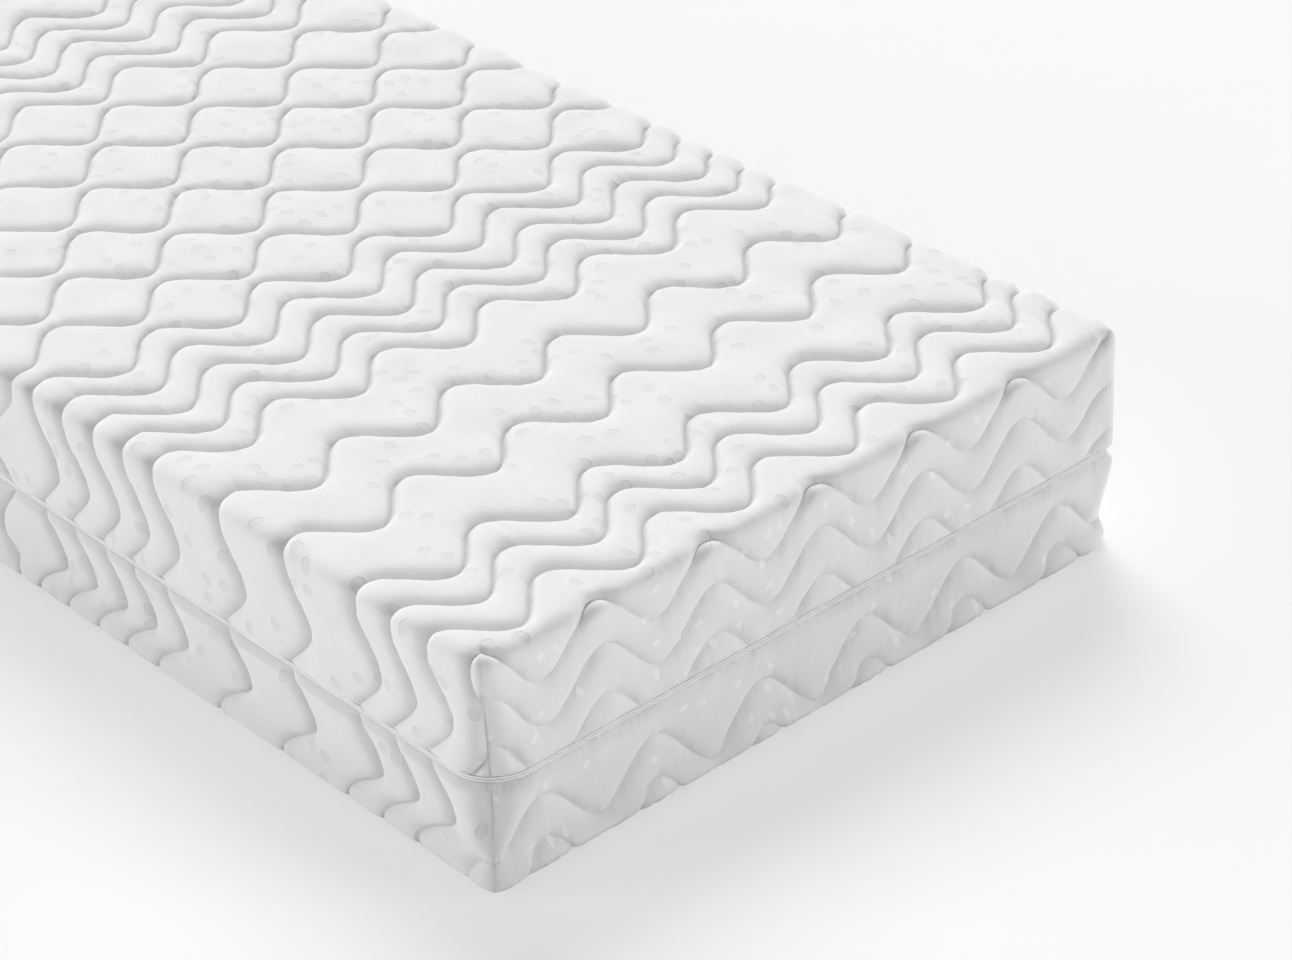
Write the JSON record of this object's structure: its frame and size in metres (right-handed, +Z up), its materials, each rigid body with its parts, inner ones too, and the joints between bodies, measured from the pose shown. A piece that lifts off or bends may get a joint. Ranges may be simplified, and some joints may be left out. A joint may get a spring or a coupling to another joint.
{
  "type": "memory foam mattress",
  "caption": "Rectangular foam mattress in a white wave-quilted knit cover whose upper and lower halves zip apart all round to free the layered foam core.",
  "frame": {"origin": "middle of the underside, on the floor plane", "axes": "+Z up, Y along the length with the foot end at -Y, X across the width; the zip slider is on the +X side near the head"},
  "size_m": [0.8998, 1.9992, 0.272],
  "materials": {
    "ticking": "white double-knit jersey with small woven-in dots, quilted",
    "wadding": "loose white fibre fleece",
    "backing": "thin white nonwoven",
    "zip_tape": "woven tape",
    "zip_coil": "moulded nylon coil",
    "zip_metal": "satin nickel",
    "memory_foam": "dense pale yellow slow foam",
    "transition_foam": "pale blue open foam",
    "support_foam": "off-white firm foam"
  },
  "bodies": {
    "lower_cover": {"lower_ticking_face": "ticking", "lower_ticking_foot_end": "ticking", "lower_ticking_head_end": "ticking", "lower_ticking_left_side": "ticking", "lower_ticking_right_side": "ticking", "lower_wadding": "wadding", "lower_backing": "backing", "lower_zip_tape": "zip_tape", "lower_zip_coil": "zip_coil", "lower_zip_stop": "zip_metal"},
    "core": {"support_foam_base": "support_foam", "transition_foam_layer": "transition_foam", "memory_foam_layer": "memory_foam"},
    "upper_cover": {"upper_ticking_face": "ticking", "upper_ticking_foot_end": "ticking", "upper_ticking_head_end": "ticking", "upper_ticking_left_side": "ticking", "upper_ticking_right_side": "ticking", "upper_wadding": "wadding", "upper_backing": "backing", "upper_zip_tape": "zip_tape", "upper_zip_coil": "zip_coil", "upper_zip_stop": "zip_metal"},
    "zip_slider": {"zip_slider": "zip_metal"},
    "zip_pull": {"zip_pull": "zip_metal"}
  },
  "joints": [
    {"name": "core_lift", "type": "slide", "parent": "lower_cover", "child": "core", "axis": [0, 0, 1], "range_m": [0, 0.14]},
    {"name": "cover_lift", "type": "slide", "parent": "core", "child": "upper_cover", "axis": [0, 0, 1], "range_m": [0, 0.2]},
    {"name": "slider_run", "type": "slide", "parent": "lower_cover", "child": "zip_slider", "axis": [0, 1, 0], "range_m": [-1.82, 0]},
    {"name": "pull_swing", "type": "hinge", "parent": "zip_slider", "child": "zip_pull", "pos_m": [0.44522, 0.912, 0.118], "axis": [0, 0, 1], "range_deg": [0, 180]}
  ]
}
